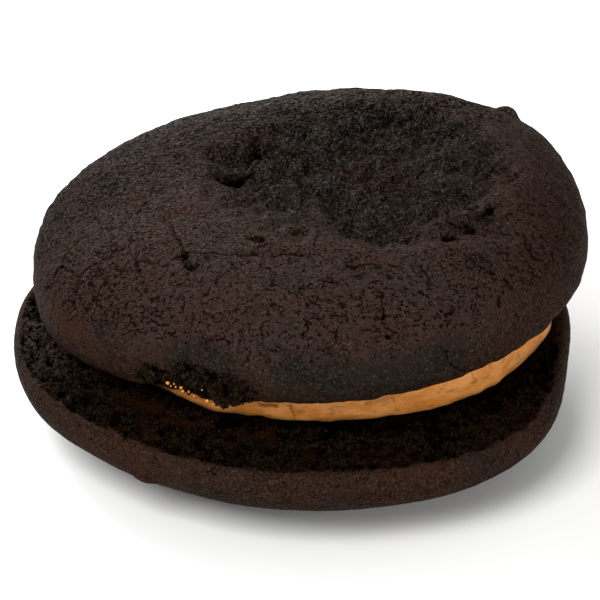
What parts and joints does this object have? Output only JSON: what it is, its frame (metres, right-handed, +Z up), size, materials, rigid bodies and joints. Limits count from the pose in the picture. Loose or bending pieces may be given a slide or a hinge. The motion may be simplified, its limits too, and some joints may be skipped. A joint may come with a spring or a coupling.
{
  "type": "whoopie pie",
  "caption": "Whoopie pie: domed chocolate cakes, flat faces inward, with a wedge of caramel-coloured cream filling showing between them.",
  "frame": {"origin": "middle of the flat spot under the lower cake, on the surface that the pie rests on", "axes": "+Z up, +X to the right of the pie's front, -Y out of its front, where the lower cake's open crumb face shows"},
  "size_m": [0.0918, 0.0991, 0.04],
  "materials": {
    "crust": "dry, finely crazed chocolate cake crust, nearly black brown, with open crumb of the same cake where it is torn",
    "cream": "soft satin caramel-coloured cream"
  },
  "bodies": {
    "root": {"bottom_cake": "crust", "filling": "cream", "top_cake": "crust"}
  },
  "joints": []
}
